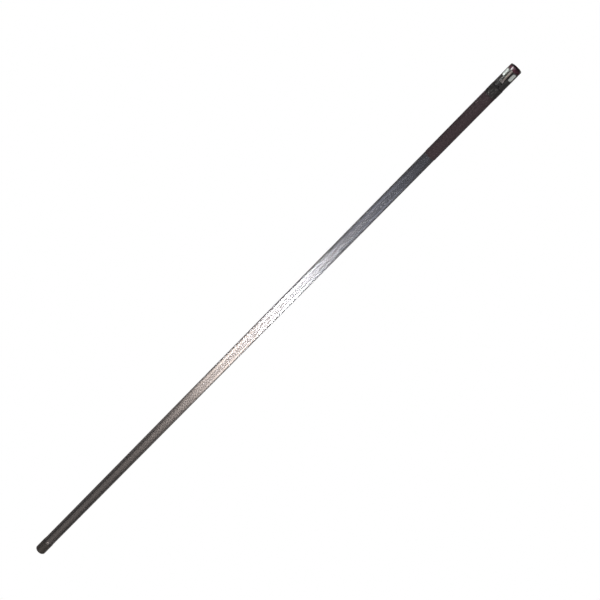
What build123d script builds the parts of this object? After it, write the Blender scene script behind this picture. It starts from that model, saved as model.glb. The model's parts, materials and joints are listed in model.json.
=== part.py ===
from build123d import *
import math
import os

# Two-section roller extension pole, closed, lying along +X with its tool end at +X.
# Millimetres, +Z up. The origin is under the middle of the closed pole, on the surface it lies on.
# A station is the distance back from the tip, so that x = CLOSED_LENGTH / 2 - station.

# Overall
CLOSED_LENGTH = 1950.0
FLAT_HALF = 15.5  # pole axis to each flat of the collar and butt cap, which the pole lies on
CORNER_RADIUS = 16.0  # the octagons' corners are turned down to this

# Outer tube and its sleeve
TUBE_RADIUS = 15.0
TUBE_BORE = 13.5
TUBE_FRONT = 83.7
TUBE_BACK = 1947.0
SLEEVE_RADIUS = 15.4
SLEEVE_FRONT = 84.0
SLEEVE_BACK = 281.0

# Four knurled bands rolled into the outer tube, a quarter turn apart
BAND_COUNT = 4
BAND_WIDTH = 12.6
BAND_DEPTH = 0.3
BAND_FRONT = 284.0
BAND_BACK = 1900.0

# Inner tube
INNER_RADIUS = 11.5
INNER_BORE = 10.3
INNER_FRONT = 38.0
INNER_BACK = 1880.0
RUNNING_GAP = 0.06  # radial clearance of each running fit
MOVING_GAP = 0.3  # clearance between moving pieces that are not a fit

# Butt end
CAP_FRONT = 1907.0
CAP_SPIGOT_FRONT = 1925.0
CAP_SPIGOT_BORE = 11.5
CAP_RIVET_STATION = 1936.0
BUMP_FRONT = 1895.0
BUMP_HOLE = 4.0
BUMP_CHAMFER = 2.0
END_ROUND = 0.8

# Guide bush on the back of the inner tube
BUSH_FRONT = 1856.0
BUSH_BACK = 1882.0
BUSH_RIVET_STATION = 1868.0
BUSH_VENT = 4.0

# Collet, fixed in the front of the outer tube
COLLET_FRONT = 62.2
COLLET_TIP_RADIUS = 12.3
COLLET_ROOT_RADIUS = 12.9
COLLET_ROOT = 71.1
COLLET_BACK = 113.7
COLLET_SLOTS = 6
COLLET_SLOT_WIDTH = 1.4
COLLET_SLOT_BACK = 69.7
BARREL_RADIUS = 13.2
FLANGE_FRONT = 82.2
FLANGE_RADIUS = 15.3
COLLET_RIVET_STATION = 99.7
SNAP_FRONT = 72.1
SNAP_BACK = 73.3
SNAP_INNER = 12.5
SNAP_RADIUS = 14.2
SNAP_OPENING = 5.0
SNAP_OPENING_ANGLE = 45.0

# Twist collar
COLLAR_FRONT = 57.6
COLLAR_BACK = 81.9
COLLAR_LIP_BORE = 11.9
COLLAR_CAVITY_FRONT = 61.0
COLLAR_CAVITY_BACK = 73.6
COLLAR_CAVITY = 14.5
COLLAR_CHAMFER = 0.9
WIPER_FRONT = 59.0
WIPER_RADIUS = 13.8
DIMPLE_LENGTH = 6.6
DIMPLE_WIDTH = 3.2
DIMPLE_DEPTH = 0.4
DIMPLE_STATIONS = (65.0, 75.0)
FLATS = 8

# Wedge ring, which the collar drives along the collet's taper
WEDGE_FRONT = 64.5
WEDGE_BACK = 70.0
WEDGE_RADIUS = 14.1
WEDGE_GAP = 0.35

# Tool head
HEAD_RADIUS = 15.3
HEAD_BACK = 57.0
CAGE_FRONT = 8.7
CAGE_BORE = 12.5
CAGE_BORE_BACK = 36.0
NOSE_FRONT = 0.4
NOSE_RADIUS = 12.0
NOSE_FLANGE_BACK = 10.5
SOCKET_RADIUS = 9.5
CUP_BORE_BACK = 34.0
NOSE_SLIT_WIDTH = 1.2
NOSE_SLIT_BACK = 7.0
CAGE_ANGLE = -11.5  # the cage is turned this far about +X from the knurled bands
WINDOW_COUNT = 4
WINDOW_FRONT = 10.8
WINDOW_BACK = 30.6
WINDOW_WIDTH = 9.4
WINDOW_ROUND = 3.6
WINDOW_PAD_GAP = 0.2  # between the cup's raised pads and the windows they stand in
WINDOW_PAD_HEIGHT = 14.2  # pole axis to the flat tops of those pads
SCREW_STATIONS = (46.0, 54.0)
SCREW_OFFSET = 12.0  # the screws stand this many degrees beside the arms
SCREW_RADIUS = 1.5
SCREW_HEAD_RADIUS = 1.9
SCREW_HEAD_DEPTH = 0.7
SCREW_RECESS = 0.8

# Release slider on the nose, with two steel arms in grooves of the cage's ribs
SLIDER_BACK = 8.4
SLIDER_BORE_BACK = 6.9
SLIDER_CAVITY = 13.4
SLIDER_RADIUS = 15.2
SLIDER_CHAMFER = 1.2
ARM_WIDTH = 4.2
ARM_TAB = 1.2  # how deep each arm's end is set in the slider's back face
ARM_GROOVE_WIDTH = 9.0
ARM_GROOVE_FLOOR = 13.3
ARM_INNER = 13.7
ARM_BACK = 43.0
ARM_ANGLES = (0.0, 180.0)
PAD_FRONT = 37.5
PAD_WIDTH = 7.4
ARM_RADIUS = 14.6
PAD_RADIUS = 15.45
PAD_GROOVES = 3
PAD_GROOVE_DEPTH = 0.35

# Return spring and the ring that holds it on the nose
RETAINER_FRONT = 0.9
RETAINER_BACK = 1.7
RETAINER_INNER = 11.6
RETAINER_RADIUS = 13.1
SPRING_WIRE = 0.5
SPRING_MEAN = 12.65
SPRING_TURNS = 2.5
SPRING_SEAT_GAP = 0.02

RIVET_RADIUS = 1.6
RIVET_SINK = 0.1  # rivet heads end this far below the surface round them


def x_at(station):
    """The x of a station, which is counted back from the tip."""
    return CLOSED_LENGTH / 2 - station


def section(station):
    """A plane across the pole at a station, facing the tip, with local y up."""
    return Plane(origin=(x_at(station), 0, FLAT_HALF), x_dir=(0, 1, 0), z_dir=(1, 0, 0))


def facing(station, angle, radius):
    """A plane that touches a circle round the axis, facing outwards, with local x along the pole."""
    turn = math.radians(angle)
    radial = Vector(0, -math.sin(turn), math.cos(turn))
    point = Vector(x_at(station), 0, FLAT_HALF) + radial * radius
    return Plane(origin=point, x_dir=(1, 0, 0), z_dir=radial)


POLE_AXIS = Axis((0, 0, FLAT_HALF), (1, 0, 0))
AXIAL = Plane(origin=(0, 0, FLAT_HALF), x_dir=(1, 0, 0), z_dir=(0, -1, 0))
BEYOND = 2.0  # how far a cutting shape runs past the surface it opens


def turned(points, mode=Mode.ADD):
    """Adds or cuts a solid of revolution round the pole's axis, from (station, radius) corners."""
    with BuildSketch(AXIAL) as profile:
        with BuildLine():
            Polyline(*[(x_at(s), r) for s, r in points], close=True)
        make_face()
    revolve(profile.sketch, axis=POLE_AXIS, mode=mode)


def ring(front, back, inner, outer):
    """Adds a plain ring between two stations."""
    with BuildSketch(section(back)) as profile:
        Circle(outer)
        Circle(inner, mode=Mode.SUBTRACT)
    extrude(profile.sketch, amount=back - front)


def bore(front, back, radius):
    """Cuts a round hole along the axis between two stations."""
    with BuildSketch(section(back)) as profile:
        Circle(radius)
    extrude(profile.sketch, amount=back - front, mode=Mode.SUBTRACT)


def arched_bars(front, back, angles, width, inner, outer, mode=Mode.ADD):
    """Adds or cuts bars along the pole, each a straight-sided stretch of a ring."""
    for angle in angles:
        with BuildSketch(section(back)) as profile:
            Circle(outer)
            Circle(inner, mode=Mode.SUBTRACT)
            with Locations(Location((0, 0, 0), (0, 0, angle))):
                Rectangle(width, outer + BEYOND, align=(Align.CENTER, Align.MIN), mode=Mode.INTERSECT)
        extrude(profile.sketch, amount=back - front, mode=mode)


def octagon_bar(front, back):
    """Adds an eight-sided bar with turned-down corners, one flat facing down."""
    with BuildSketch(section(back)) as profile:
        RegularPolygon(radius=FLAT_HALF, side_count=FLATS, major_radius=False, rotation=180 / FLATS)
        Circle(CORNER_RADIUS, mode=Mode.INTERSECT)
    extrude(profile.sketch, amount=back - front)


def radial_pins(station, angles, inner, outer, radius):
    """Adds round pins that point at the pole's axis."""
    for angle in angles:
        with BuildSketch(facing(station, angle, inner)) as profile:
            Circle(radius)
        extrude(profile.sketch, amount=outer - inner)


def radial_holes(station, angles, inner, outer, radius):
    """Cuts round holes that point at the pole's axis."""
    for angle in angles:
        with BuildSketch(facing(station, angle, inner)) as profile:
            Circle(radius)
        extrude(profile.sketch, amount=outer - inner, mode=Mode.SUBTRACT)


def radial_slots(front, back, angles, width, inner, outer):
    """Cuts straight slots along the pole, from an inner radius to an outer one."""
    for angle in angles:
        with BuildSketch(facing((front + back) / 2, angle, inner)) as profile:
            Rectangle(back - front, width)
        extrude(profile.sketch, amount=outer - inner, mode=Mode.SUBTRACT)


def finish(piece, name):
    """Labels a finished piece and writes its file."""
    piece.part.label = name
    export_step(piece.part, f"parts/{name}.step")


os.makedirs("parts", exist_ok=True)

SIDES = (90.0, 270.0)
TOP_AND_BOTTOM = (0.0, 180.0)
band_angles = [360 / BAND_COUNT * k for k in range(BAND_COUNT)]
rib_angles = [CAGE_ANGLE + a for a in band_angles]
arm_angles = [CAGE_ANGLE + a for a in ARM_ANGLES]
screw_angles = [a + SCREW_OFFSET for a in arm_angles]
window_angles = [a + 180 / WINDOW_COUNT for a in rib_angles]


# ---- Outer section ----

def band_cutter(angle):
    """What one band takes out of the tube: a strip of thin shell with rounded ends."""
    with BuildPart() as cutter:
        ring(BAND_FRONT - BEYOND, BAND_BACK + BEYOND, TUBE_RADIUS - BAND_DEPTH, TUBE_RADIUS + BEYOND)
        with BuildSketch(facing((BAND_FRONT + BAND_BACK) / 2, angle, 0)):
            SlotOverall(BAND_BACK - BAND_FRONT, BAND_WIDTH)
        extrude(amount=TUBE_RADIUS + 2 * BEYOND, mode=Mode.INTERSECT)
    return cutter.part


band_cutters = [band_cutter(angle) for angle in band_angles]
with BuildPart() as outer_tube:
    ring(TUBE_FRONT, TUBE_BACK, TUBE_BORE, TUBE_RADIUS)
    for cutter in band_cutters:
        add(cutter, mode=Mode.SUBTRACT)
    radial_holes(CAP_RIVET_STATION, SIDES, TUBE_BORE - BEYOND, TUBE_RADIUS + BEYOND, RIVET_RADIUS)
    radial_holes(COLLET_RIVET_STATION, TOP_AND_BOTTOM, TUBE_BORE - BEYOND, TUBE_RADIUS + BEYOND, RIVET_RADIUS)
finish(outer_tube, "outer_tube")

with BuildPart() as grip_sleeve:
    ring(SLEEVE_FRONT, SLEEVE_BACK, TUBE_RADIUS, SLEEVE_RADIUS)
finish(grip_sleeve, "grip_sleeve")

with BuildPart() as butt_cap:
    octagon_bar(CAP_FRONT, CLOSED_LENGTH)
    bore(CAP_FRONT, TUBE_BACK, TUBE_RADIUS)
    ring(CAP_SPIGOT_FRONT, TUBE_BACK, CAP_SPIGOT_BORE, TUBE_BORE)
    butt_edges = butt_cap.faces().sort_by(Axis.X)[0].outer_wire().edges()
    chamfer(butt_edges, END_ROUND)
    radial_holes(CAP_RIVET_STATION, SIDES, CAP_SPIGOT_BORE - BEYOND, FLAT_HALF + BEYOND, RIVET_RADIUS)
finish(butt_cap, "butt_cap")

with BuildPart() as butt_rivets:
    radial_pins(CAP_RIVET_STATION, SIDES, CAP_SPIGOT_BORE, FLAT_HALF - RIVET_SINK, RIVET_RADIUS)
finish(butt_rivets, "butt_rivets")

with BuildPart() as bump_stop:
    ring(BUMP_FRONT, CAP_SPIGOT_FRONT, BUMP_HOLE, TUBE_BORE)
    chamfer(bump_stop.faces().sort_by(Axis.X)[-1].outer_wire().edges(), BUMP_CHAMFER)
finish(bump_stop, "bump_stop")

with BuildPart() as collet:
    # tapered fingers at the front, the barrel the collar turns on, a flange and a spigot inside the tube
    turned(
        (
            (COLLET_FRONT, INNER_RADIUS + RUNNING_GAP),
            (COLLET_FRONT, COLLET_TIP_RADIUS),
            (COLLET_ROOT, COLLET_ROOT_RADIUS),
            (COLLET_ROOT, BARREL_RADIUS),
            (SNAP_FRONT, BARREL_RADIUS),
            (SNAP_FRONT, SNAP_INNER),
            (SNAP_BACK, SNAP_INNER),
            (SNAP_BACK, BARREL_RADIUS),
            (FLANGE_FRONT, BARREL_RADIUS),
            (FLANGE_FRONT, FLANGE_RADIUS),
            (TUBE_FRONT, FLANGE_RADIUS),
            (TUBE_FRONT, TUBE_BORE),
            (COLLET_BACK, TUBE_BORE),
            (COLLET_BACK, INNER_RADIUS + RUNNING_GAP),
        )
    )
    slot_angles = [360 / COLLET_SLOTS * k + 180 / COLLET_SLOTS for k in range(COLLET_SLOTS)]
    radial_slots(
        COLLET_FRONT - BEYOND, COLLET_SLOT_BACK, slot_angles, COLLET_SLOT_WIDTH, INNER_BORE, TUBE_RADIUS
    )
    radial_holes(COLLET_RIVET_STATION, TOP_AND_BOTTOM, INNER_RADIUS, TUBE_RADIUS, RIVET_RADIUS)
finish(collet, "collet")

with BuildPart() as collet_rivets:
    radial_pins(
        COLLET_RIVET_STATION, TOP_AND_BOTTOM, INNER_RADIUS + MOVING_GAP,
        TUBE_RADIUS - RIVET_SINK, RIVET_RADIUS,
    )
finish(collet_rivets, "collet_rivets")

with BuildPart() as collar_snap_ring:
    ring(SNAP_FRONT, SNAP_BACK, SNAP_INNER, SNAP_RADIUS)
    radial_slots(SNAP_FRONT, SNAP_BACK, (SNAP_OPENING_ANGLE,), SNAP_OPENING, 0, SNAP_RADIUS + BEYOND)
finish(collar_snap_ring, "collar_snap_ring")


# ---- Twist collar, its wiper and the wedge ring ----

with BuildPart() as twist_collar:
    octagon_bar(COLLAR_FRONT, COLLAR_BACK)
    collar_ends = twist_collar.faces().sort_by(Axis.X)
    chamfer(collar_ends[0].edges() + collar_ends[-1].edges(), COLLAR_CHAMFER)
    turned(
        (
            (COLLAR_FRONT - BEYOND, 0),
            (COLLAR_FRONT - BEYOND, COLLAR_LIP_BORE),
            (WIPER_FRONT, COLLAR_LIP_BORE),
            (WIPER_FRONT, WIPER_RADIUS),
            (COLLAR_CAVITY_FRONT, WIPER_RADIUS),
            (COLLAR_CAVITY_FRONT, COLLAR_CAVITY),
            (COLLAR_CAVITY_BACK, COLLAR_CAVITY),
            (COLLAR_CAVITY_BACK, BARREL_RADIUS + RUNNING_GAP),
            (COLLAR_BACK + BEYOND, BARREL_RADIUS + RUNNING_GAP),
            (COLLAR_BACK + BEYOND, 0),
        ),
        mode=Mode.SUBTRACT,
    )
    # two finger dimples along each flat
    for flat in range(FLATS):
        for dimple_station in DIMPLE_STATIONS:
            with BuildSketch(facing(dimple_station, 360 / FLATS * flat, FLAT_HALF - DIMPLE_DEPTH)):
                SlotOverall(DIMPLE_LENGTH, DIMPLE_WIDTH)
            extrude(amount=BEYOND, mode=Mode.SUBTRACT)
finish(twist_collar, "twist_collar")

with BuildPart() as wiper_seal:
    ring(WIPER_FRONT, COLLAR_CAVITY_FRONT, INNER_RADIUS + RUNNING_GAP, WIPER_RADIUS)
finish(wiper_seal, "wiper_seal")


def collet_radius(station):
    """The outside radius of the collet's fingers at a station."""
    share = (station - COLLET_FRONT) / (COLLET_ROOT - COLLET_FRONT)
    return COLLET_TIP_RADIUS + share * (COLLET_ROOT_RADIUS - COLLET_TIP_RADIUS)


with BuildPart() as wedge_ring:
    turned(
        (
            (WEDGE_FRONT, collet_radius(WEDGE_FRONT) + WEDGE_GAP),
            (WEDGE_FRONT, WEDGE_RADIUS),
            (WEDGE_BACK, WEDGE_RADIUS),
            (WEDGE_BACK, collet_radius(WEDGE_BACK) + WEDGE_GAP),
        )
    )
finish(wedge_ring, "wedge_ring")


# ---- Inner section ----

with BuildPart() as inner_tube:
    ring(INNER_FRONT, INNER_BACK, INNER_BORE, INNER_RADIUS)
    for screw_station in SCREW_STATIONS:
        radial_holes(screw_station, screw_angles, INNER_BORE - BEYOND, INNER_RADIUS + BEYOND, SCREW_RADIUS)
    radial_holes(BUSH_RIVET_STATION, SIDES, INNER_BORE - BEYOND, INNER_RADIUS + BEYOND, RIVET_RADIUS)
finish(inner_tube, "inner_tube")

with BuildPart() as guide_bush:
    turned(
        (
            (BUSH_FRONT, INNER_RADIUS),
            (BUSH_FRONT, TUBE_BORE - RUNNING_GAP),
            (BUSH_BACK, TUBE_BORE - RUNNING_GAP),
            (BUSH_BACK, BUSH_VENT),
            (INNER_BACK, BUSH_VENT),
            (INNER_BACK, INNER_RADIUS),
        )
    )
    radial_holes(BUSH_RIVET_STATION, SIDES, INNER_BORE, TUBE_BORE + BEYOND, RIVET_RADIUS)
finish(guide_bush, "guide_bush")

with BuildPart() as guide_bush_rivets:
    radial_pins(BUSH_RIVET_STATION, SIDES, INNER_BORE, TUBE_BORE - MOVING_GAP, RIVET_RADIUS)
finish(guide_bush_rivets, "guide_bush_rivets")

with BuildPart() as head_body:
    # cage in front, sleeve over the inner tube behind, and a wall between them
    turned(
        (
            (CAGE_FRONT, CAGE_BORE),
            (CAGE_FRONT, HEAD_RADIUS),
            (HEAD_BACK - END_ROUND, HEAD_RADIUS),
            (HEAD_BACK, HEAD_RADIUS - END_ROUND),
            (HEAD_BACK, INNER_RADIUS),
            (INNER_FRONT, INNER_RADIUS),
            (INNER_FRONT, 0),
            (CAGE_BORE_BACK, 0),
            (CAGE_BORE_BACK, CAGE_BORE),
        )
    )
    # four windows with rounded corners
    for window_angle in window_angles:
        with BuildSketch(facing((WINDOW_FRONT + WINDOW_BACK) / 2, window_angle, SOCKET_RADIUS / 2)):
            RectangleRounded(WINDOW_BACK - WINDOW_FRONT, WINDOW_WIDTH, WINDOW_ROUND)
        extrude(amount=HEAD_RADIUS, mode=Mode.SUBTRACT)
    # grooves for the slider's arms and their thumb pads
    above = HEAD_RADIUS + BEYOND
    arched_bars(
        CAGE_FRONT - BEYOND, ARM_BACK + MOVING_GAP, arm_angles, ARM_GROOVE_WIDTH, ARM_GROOVE_FLOOR, above,
        Mode.SUBTRACT,
    )
    screw_seat = HEAD_RADIUS - SCREW_RECESS - SCREW_HEAD_DEPTH
    for screw_station in SCREW_STATIONS:
        radial_holes(screw_station, screw_angles, INNER_BORE, above, SCREW_RADIUS)
        radial_holes(screw_station, screw_angles, screw_seat, above, SCREW_HEAD_RADIUS)
finish(head_body, "head_body")

with BuildPart() as nose_piece:
    # a slotted nose with a groove for the retaining ring, flanged where it is fixed in the cage
    turned(
        (
            (NOSE_FRONT, SOCKET_RADIUS),
            (NOSE_FRONT, RETAINER_INNER),
            (RETAINER_FRONT, NOSE_RADIUS),
            (RETAINER_FRONT, RETAINER_INNER),
            (RETAINER_BACK, RETAINER_INNER),
            (RETAINER_BACK, NOSE_RADIUS),
            (CAGE_FRONT, NOSE_RADIUS),
            (CAGE_FRONT, CAGE_BORE),
            (NOSE_FLANGE_BACK, CAGE_BORE),
            (NOSE_FLANGE_BACK, SOCKET_RADIUS),
        )
    )
    radial_slots(
        NOSE_FRONT - BEYOND, NOSE_SLIT_BACK, window_angles, NOSE_SLIT_WIDTH, SOCKET_RADIUS / 2, HEAD_RADIUS
    )
finish(nose_piece, "nose_piece")

with BuildPart() as socket_cup:
    turned(
        (
            (NOSE_FLANGE_BACK, SOCKET_RADIUS),
            (NOSE_FLANGE_BACK, CAGE_BORE),
            (CAGE_BORE_BACK, CAGE_BORE),
            (CAGE_BORE_BACK, 0),
            (CUP_BORE_BACK, 0),
            (CUP_BORE_BACK, SOCKET_RADIUS),
        )
    )
    # a raised pad in each of the cage's windows
    pad_length = WINDOW_BACK - WINDOW_FRONT - 2 * WINDOW_PAD_GAP
    pad_width = WINDOW_WIDTH - 2 * WINDOW_PAD_GAP
    pad_root = (SOCKET_RADIUS + CAGE_BORE) / 2
    for window_angle in window_angles:
        with BuildSketch(facing((WINDOW_FRONT + WINDOW_BACK) / 2, window_angle, pad_root)):
            RectangleRounded(pad_length, pad_width, WINDOW_ROUND - WINDOW_PAD_GAP)
        extrude(amount=WINDOW_PAD_HEIGHT - pad_root)
finish(socket_cup, "socket_cup")

with BuildPart() as head_screws:
    screw_top = HEAD_RADIUS - SCREW_RECESS
    for screw_station in SCREW_STATIONS:
        radial_pins(screw_station, screw_angles, INNER_BORE, screw_top, SCREW_RADIUS)
        radial_pins(screw_station, screw_angles, screw_top - SCREW_HEAD_DEPTH, screw_top, SCREW_HEAD_RADIUS)
finish(head_screws, "head_screws")

with BuildPart() as nose_retainer:
    ring(RETAINER_FRONT, RETAINER_BACK, RETAINER_INNER, RETAINER_RADIUS)
    radial_slots(RETAINER_FRONT, RETAINER_BACK, (CAGE_ANGLE,), SNAP_OPENING, 0, RETAINER_RADIUS + BEYOND)
finish(nose_retainer, "nose_retainer")

spring_front = RETAINER_BACK + SPRING_WIRE / 2 + SPRING_SEAT_GAP
spring_back = SLIDER_BORE_BACK - SPRING_WIRE / 2 - SPRING_SEAT_GAP
spring_length = spring_back - spring_front
with BuildPart() as slider_spring:
    with BuildLine() as spring_path:
        Helix(
            pitch=spring_length / SPRING_TURNS,
            height=spring_length,
            radius=SPRING_MEAN,
            center=(x_at(spring_back), 0, FLAT_HALF),
            direction=(1, 0, 0),
        )
    with BuildSketch(Plane(origin=spring_path.line @ 0, z_dir=spring_path.line % 0)):
        Circle(SPRING_WIRE / 2)
    sweep(is_frenet=True)
finish(slider_spring, "slider_spring")


# ---- Release slider ----

with BuildPart() as release_slider:
    turned(
        (
            (0, SLIDER_CAVITY),
            (0, SLIDER_RADIUS - SLIDER_CHAMFER),
            (SLIDER_CHAMFER, SLIDER_RADIUS),
            (SLIDER_BACK, SLIDER_RADIUS),
            (SLIDER_BACK, NOSE_RADIUS + RUNNING_GAP),
            (SLIDER_BORE_BACK, NOSE_RADIUS + RUNNING_GAP),
            (SLIDER_BORE_BACK, SLIDER_CAVITY),
        )
    )
    # seats for the ends of the arms
    arched_bars(
        SLIDER_BACK - ARM_TAB, SLIDER_BACK + BEYOND, arm_angles,
        ARM_WIDTH, ARM_INNER, ARM_RADIUS, Mode.SUBTRACT,
    )
finish(release_slider, "release_slider")

with BuildPart() as slider_arms:
    arched_bars(SLIDER_BACK - ARM_TAB, ARM_BACK, arm_angles, ARM_WIDTH, ARM_INNER, ARM_RADIUS)
finish(slider_arms, "slider_arms")

with BuildPart() as thumb_pads:
    arched_bars(PAD_FRONT, ARM_BACK, arm_angles, PAD_WIDTH, ARM_RADIUS, PAD_RADIUS)
    # cross ribs for the thumb
    groove_pitch = (ARM_BACK - PAD_FRONT) / PAD_GROOVES
    groove_length = groove_pitch / 2
    for k in range(PAD_GROOVES):
        groove_front = PAD_FRONT + k * groove_pitch + groove_length / 2
        groove_floor = PAD_RADIUS - PAD_GROOVE_DEPTH
        arched_bars(
            groove_front, groove_front + groove_length, arm_angles,
            PAD_WIDTH + BEYOND, groove_floor, PAD_RADIUS + BEYOND, Mode.SUBTRACT,
        )
finish(thumb_pads, "thumb_pads")
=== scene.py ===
"""Looks of the roller extension pole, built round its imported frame.

Lengths are in metres. A station is a distance back from the pole's tip. An angle is counted about the
pole's axis from straight up, by the right-hand rule about +X.
"""

from __future__ import annotations

import json
import logging
import math
from collections.abc import Callable
from dataclasses import dataclass, field
from enum import Enum

import bmesh
import bpy
import numpy as np
from mathutils import Matrix, Vector


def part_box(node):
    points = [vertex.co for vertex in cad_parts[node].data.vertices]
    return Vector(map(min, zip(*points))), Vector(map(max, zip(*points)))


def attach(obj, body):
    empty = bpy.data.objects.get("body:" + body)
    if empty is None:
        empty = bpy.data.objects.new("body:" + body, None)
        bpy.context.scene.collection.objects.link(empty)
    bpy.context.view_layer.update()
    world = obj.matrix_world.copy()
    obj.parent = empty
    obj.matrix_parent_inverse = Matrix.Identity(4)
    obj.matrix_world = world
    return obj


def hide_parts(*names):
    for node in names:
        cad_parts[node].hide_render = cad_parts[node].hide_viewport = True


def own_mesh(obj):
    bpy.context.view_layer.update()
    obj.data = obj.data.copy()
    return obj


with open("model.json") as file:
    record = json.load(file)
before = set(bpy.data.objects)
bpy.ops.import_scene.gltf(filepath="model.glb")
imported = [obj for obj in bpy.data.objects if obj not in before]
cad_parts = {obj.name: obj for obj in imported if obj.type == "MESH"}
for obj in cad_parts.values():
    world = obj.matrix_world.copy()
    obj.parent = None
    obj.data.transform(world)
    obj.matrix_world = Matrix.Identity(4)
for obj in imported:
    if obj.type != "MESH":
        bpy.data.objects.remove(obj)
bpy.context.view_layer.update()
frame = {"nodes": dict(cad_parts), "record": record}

Array = np.ndarray
Colour = tuple[float, float, float, float]
Point = tuple[float, float, float]
Material = bpy.types.Material
Node = bpy.types.Node
Object = bpy.types.Object
Socket = bpy.types.NodeSocket
Tree = bpy.types.NodeTree
Inputs = dict[str | int, object]
Stops = list[tuple[float, Colour]]
Shape = Callable[[Array, Array, Array], Array]

LOG = logging.getLogger("pole")
MM = 0.001
AXIS_HEIGHT = 15.5 * MM  # the pole's axis above the floor it lies on
TURN = 2 * math.pi


class Body(str, Enum):
    """The moving bodies that new pieces ride on."""

    OUTER = "outer"
    COLLAR = "collar"
    INNER = "inner"
    SLIDER = "slider"


class Slot(str, Enum):
    """The record's material slots."""

    TUBE = "anodised_tube"
    INNER_TUBE = "plain_aluminium"
    SLEEVE = "shrink_sleeve"
    NYLON = "black_nylon"
    WINE = "wine_plastic"
    SATIN_STEEL = "satin_steel"
    PAD = "pad_rubber"
    ACETAL = "white_acetal"
    DARK_STEEL = "dark_steel"
    SPRING_STEEL = "spring_steel"
    BUMPER = "bumper_rubber"
    FELT = "wiper_felt"


# ---- Colours and nodes ----


def linear(code: str) -> Colour:
    """Turns an sRGB hex colour to the linear colour that shaders use.

    Args:
        code: a hash and six hex digits.

    Returns:
        Red, green, blue and an alpha of one.
    """
    parts = [int(code[k : k + 2], 16) / 255 for k in (1, 3, 5)]
    red, green, blue = [c / 12.92 if c <= 0.04045 else ((c + 0.055) / 1.055) ** 2.4 for c in parts]
    return red, green, blue, 1.0


def grey(value: float) -> Colour:
    """A linear grey."""
    return value, value, value, 1.0


def feed(node: Node, inputs: Inputs) -> None:
    """Gives a node's inputs their plain values and their links.

    Args:
        node: the node that gets them.
        inputs: for an input's name or number, a plain value, an output, or a node for its first output.
    """
    for key, value in inputs.items():
        source = value.outputs[0] if isinstance(value, Node) else value
        if isinstance(source, Socket):
            node.id_data.links.new(source, node.inputs[key])
        else:
            node.inputs[key].default_value = source


def add_node(
    tree: Tree, kind: str, inputs: Inputs | None = None, stops: Stops | None = None, **settings: object
) -> Node:
    """Adds one node, with its settings, its plain values and its links.

    Args:
        tree: the node tree that gets it.
        kind: the node's type name, after its ShaderNode.
        inputs: what feed() gives it.
        stops: on a colour ramp, the position and linear colour of each stop, from low to high.
        settings: properties of the node itself.

    Returns:
        The new node.
    """
    node = tree.nodes.new(f"ShaderNode{kind}")
    for name, value in settings.items():
        setattr(node, name, value)
    feed(node, inputs or {})
    if stops:
        elements = node.color_ramp.elements
        while len(elements) < len(stops):
            elements.new(0.5)
        for element, (position, colour) in zip(elements, stops):
            element.position = position
            element.color = colour
    return node


def noise_range(noise: Node, low: float, high: float) -> Inputs:
    """Inputs of a range that goes from low to high over the middle half of a noise, where most of it lies."""
    return {"Value": noise, "From Min": 0.25, "From Max": 0.75, "To Min": low, "To Max": high}


# ---- Finishes ----


@dataclass(frozen=True)
class Finish:
    """What every finish shares: a name, a base colour, and how it shines."""

    name: str
    colour: str
    roughness: float
    metallic: float = 0.0

    def build(self) -> Material:
        """Makes the material from its plain values and its patterns."""
        material = bpy.data.materials.new(self.name)
        material.use_nodes = True
        tree = material.node_tree
        shader = tree.nodes["Principled BSDF"]
        plain = {"Base Color": linear(self.colour), "Metallic": self.metallic, "Roughness": self.roughness}
        place = add_node(tree, "TexCoord").outputs["Object"]
        feed(shader, plain | self.patterns(tree, place))
        return material

    def patterns(self, tree: Tree, place: Socket) -> Inputs:
        """Adds what varies over the surface.

        Args:
            tree: the node tree.
            place: the object coordinates, which are in metres.

        Returns:
            What the main shader is fed.
        """
        raise NotImplementedError

    def shade(self, factor: float) -> Colour:
        """The base colour, made lighter or darker by a factor."""
        red, green, blue = (min(1.0, c * factor) for c in linear(self.colour)[:3])
        return red, green, blue, 1.0

    def cells(self, tree: Tree, place: Socket, size: Point, detail: float = 2.0) -> Node:
        """Noise whose cells have a real size.

        Args:
            tree: the node tree.
            place: the object coordinates.
            size: the cell's size in metres along X, Y and Z.
            detail: how many finer layers it has.

        Returns:
            The noise, whose first output goes from 0 to 1.
        """
        scaled = add_node(tree, "Mapping", {"Vector": place, "Scale": tuple(1 / s for s in size)})
        return add_node(tree, "TexNoise", {"Vector": scaled, "Scale": 1.0, "Detail": detail})


def streak_shine(tree: Tree, amount: float) -> Inputs:
    """Stretches the shine of fine lengthwise streaks round the tube, which is where they throw light.

    Args:
        tree: the node tree.
        amount: from 0, even, to 1, all one way.

    Returns:
        What the main shader is fed.
    """
    return {"Anisotropic": amount, "Tangent": add_node(tree, "Tangent", direction_type="RADIAL", axis="X")}


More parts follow.
